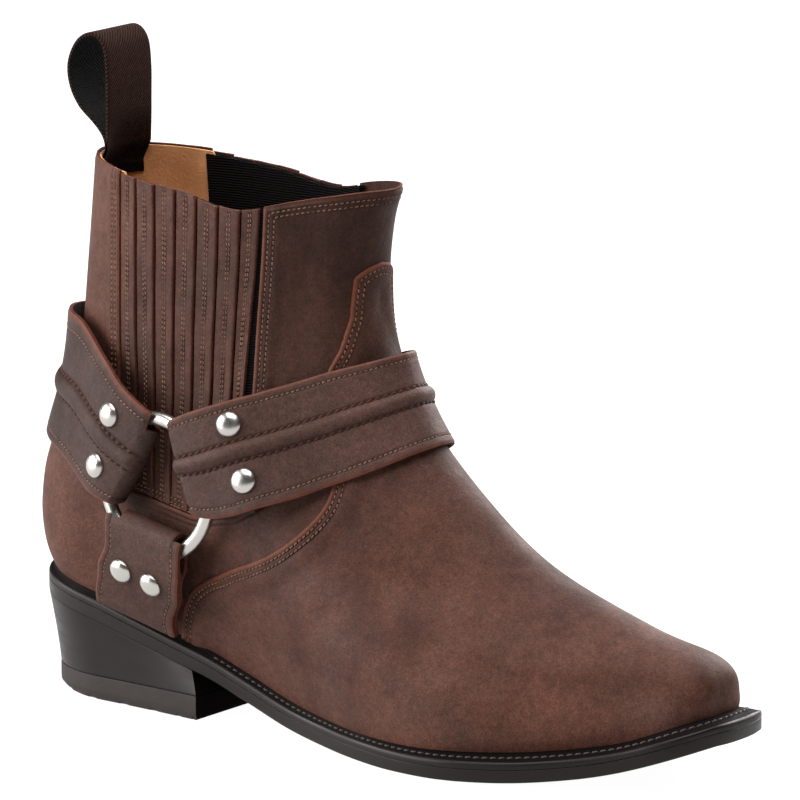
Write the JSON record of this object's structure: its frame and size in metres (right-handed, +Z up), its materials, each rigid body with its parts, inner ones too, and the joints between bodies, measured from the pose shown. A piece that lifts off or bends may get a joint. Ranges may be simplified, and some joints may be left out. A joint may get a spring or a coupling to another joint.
{
  "type": "western boot",
  "caption": "Right western harness ankle boot: square-toed leather upper, elastic side panels with leather strips, straps riveted round a metal ring on each side, stacked heel.",
  "frame": {"origin": "on the floor, under the middle of the boot's bounding box", "axes": "+X from the heel to the toe, +Y to the inner side of the foot, +Z up"},
  "size_m": [0.302, 0.1008, 0.2447],
  "materials": {
    "upper_leather": "oiled pull-up leather, satin, mottled dark red-brown",
    "strap_leather": "oiled pull-up leather, satin, darker brown",
    "lining": "matt tan lining leather",
    "insole_leather": "matt tan",
    "sole": "black, satin edge dressing",
    "lift_rubber": "black, matt",
    "hardware": "polished nickel",
    "webbing": "brown and black woven webbing",
    "elastic": "black elastic cloth",
    "thread": "brown waxed thread"
  },
  "bodies": {
    "root": {"outsole": "sole", "welt": "sole", "heel": "sole", "top_lift": "lift_rubber", "insole": "insole_leather", "upper": "lining", "vamp": "upper_leather", "quarter": "upper_leather", "shaft_front": "upper_leather", "gore_outer": "upper_leather", "gore_inner": "upper_leather", "strap_front": "strap_leather", "strap_back": "strap_leather", "strap_low_outer": "strap_leather", "strap_low_inner": "strap_leather", "ring_outer": "hardware", "ring_inner": "hardware", "rivet_front_outer_1": "hardware", "rivet_front_outer_2": "hardware", "rivet_front_inner_1": "hardware", "rivet_front_inner_2": "hardware", "rivet_back_outer_1": "hardware", "rivet_back_outer_2": "hardware", "rivet_back_inner_1": "hardware", "rivet_back_inner_2": "hardware", "rivet_low_outer_1": "hardware", "rivet_low_outer_2": "hardware", "rivet_low_inner_1": "hardware", "rivet_low_inner_2": "hardware", "pull_loop": "webbing"}
  },
  "joints": []
}
